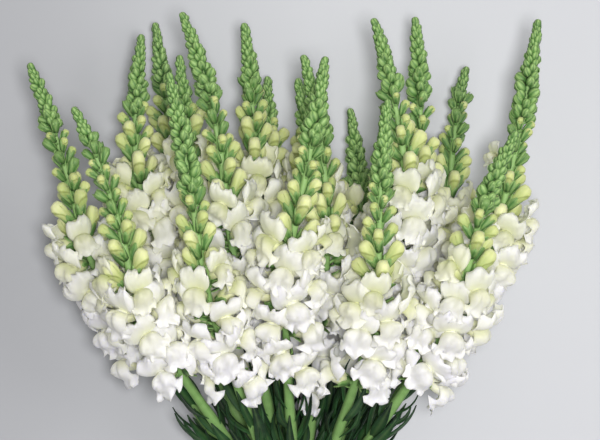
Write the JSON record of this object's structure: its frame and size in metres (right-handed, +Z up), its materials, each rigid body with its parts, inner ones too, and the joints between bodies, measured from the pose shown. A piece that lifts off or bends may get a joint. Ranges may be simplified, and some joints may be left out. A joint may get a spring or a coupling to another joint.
{
  "type": "cut flower bunch",
  "caption": "Fanned bunch of cut white snapdragons with green bud spikes, held by a plain straw-coloured tie and lying on its back.",
  "frame": {"origin": "under the middle of the bunch's bounding box, on the surface it lies on", "axes": "+Y along the stems towards the flowers, +X to the right seen from above, +Z up"},
  "size_m": [0.453, 0.6464, 0.1945],
  "materials": {
    "greenery": "fresh green stems, buds and leaves, satin",
    "petals": "soft matt white petals",
    "tie_straw": "dry plant fibre"
  },
  "bodies": {
    "root": {"stem_a": "greenery", "stem_b": "greenery", "stem_c": "greenery", "stem_d": "greenery", "stem_e": "greenery", "stem_f": "greenery", "stem_g": "greenery", "stem_h": "greenery", "stem_i": "greenery", "stem_j": "greenery", "stem_k": "greenery", "stem_l": "greenery", "stem_m": "greenery", "stem_n": "greenery", "stem_o": "greenery", "stem_p": "greenery", "stem_q": "greenery", "stem_r": "greenery", "stem_s": "greenery", "flowers_a": "petals", "flowers_b": "petals", "flowers_c": "petals", "flowers_d": "petals", "flowers_e": "petals", "flowers_f": "petals", "flowers_g": "petals", "flowers_h": "petals", "flowers_i": "petals", "flowers_j": "petals", "flowers_k": "petals", "flowers_l": "petals", "flowers_m": "petals", "flowers_n": "petals", "flowers_o": "petals", "flowers_p": "petals", "flowers_q": "petals", "flowers_r": "petals", "flowers_s": "petals", "tie": "tie_straw"}
  },
  "joints": []
}
